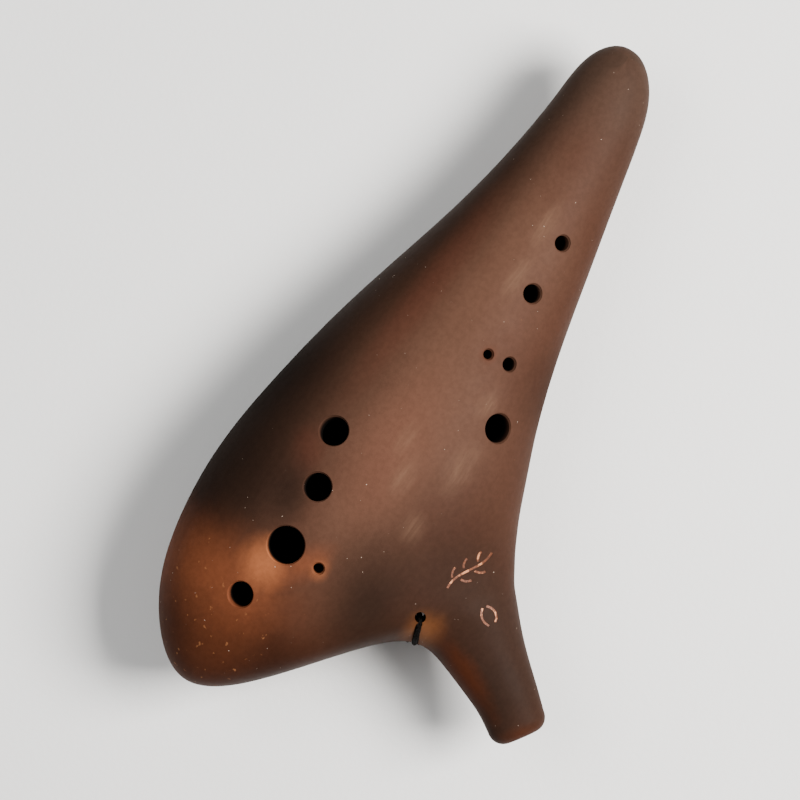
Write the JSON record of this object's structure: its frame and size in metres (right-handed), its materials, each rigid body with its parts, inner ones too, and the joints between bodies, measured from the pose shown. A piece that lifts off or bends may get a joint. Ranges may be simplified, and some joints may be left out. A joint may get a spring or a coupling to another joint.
{
  "type": "ocarina",
  "caption": "Transverse bass ocarina in smoke-fired clay, with a mouthpiece and windway, a labium window, tone holes with thumb holes behind, and a small lanyard loop",
  "frame": {"origin": "centre of the bounding box in X and Y, at the lowest point of the back, which it lies on", "axes": "+X from the wide head to the tail, the longest extent; +Z out of the finger-hole side, the shortest extent; the mouthpiece points towards -Y and a little -X"},
  "size_m": [0.277, 0.1522, 0.0662],
  "materials": {
    "clay_front": "burnished smoke-fired clay, satin",
    "clay_back": "burnished smoke-fired clay, satin",
    "clay_mouthpiece": "burnished smoke-fired clay, satin",
    "clay_labium": "smoke-fired clay, cut and smoothed",
    "clay_inside": "rough clay blackened by smoke",
    "pigment": "copper pigment rubbed into a groove",
    "cord": "black waxed braided cord"
  },
  "bodies": {
    "root": {"front_shell": "clay_front", "back_shell": "clay_back", "mouthpiece": "clay_mouthpiece", "labium": "clay_labium", "seam_coil": "clay_inside", "flourish_fill": "pigment", "emblem_fill": "pigment", "lanyard_cord": "cord", "cord_knot": "cord"}
  },
  "joints": []
}
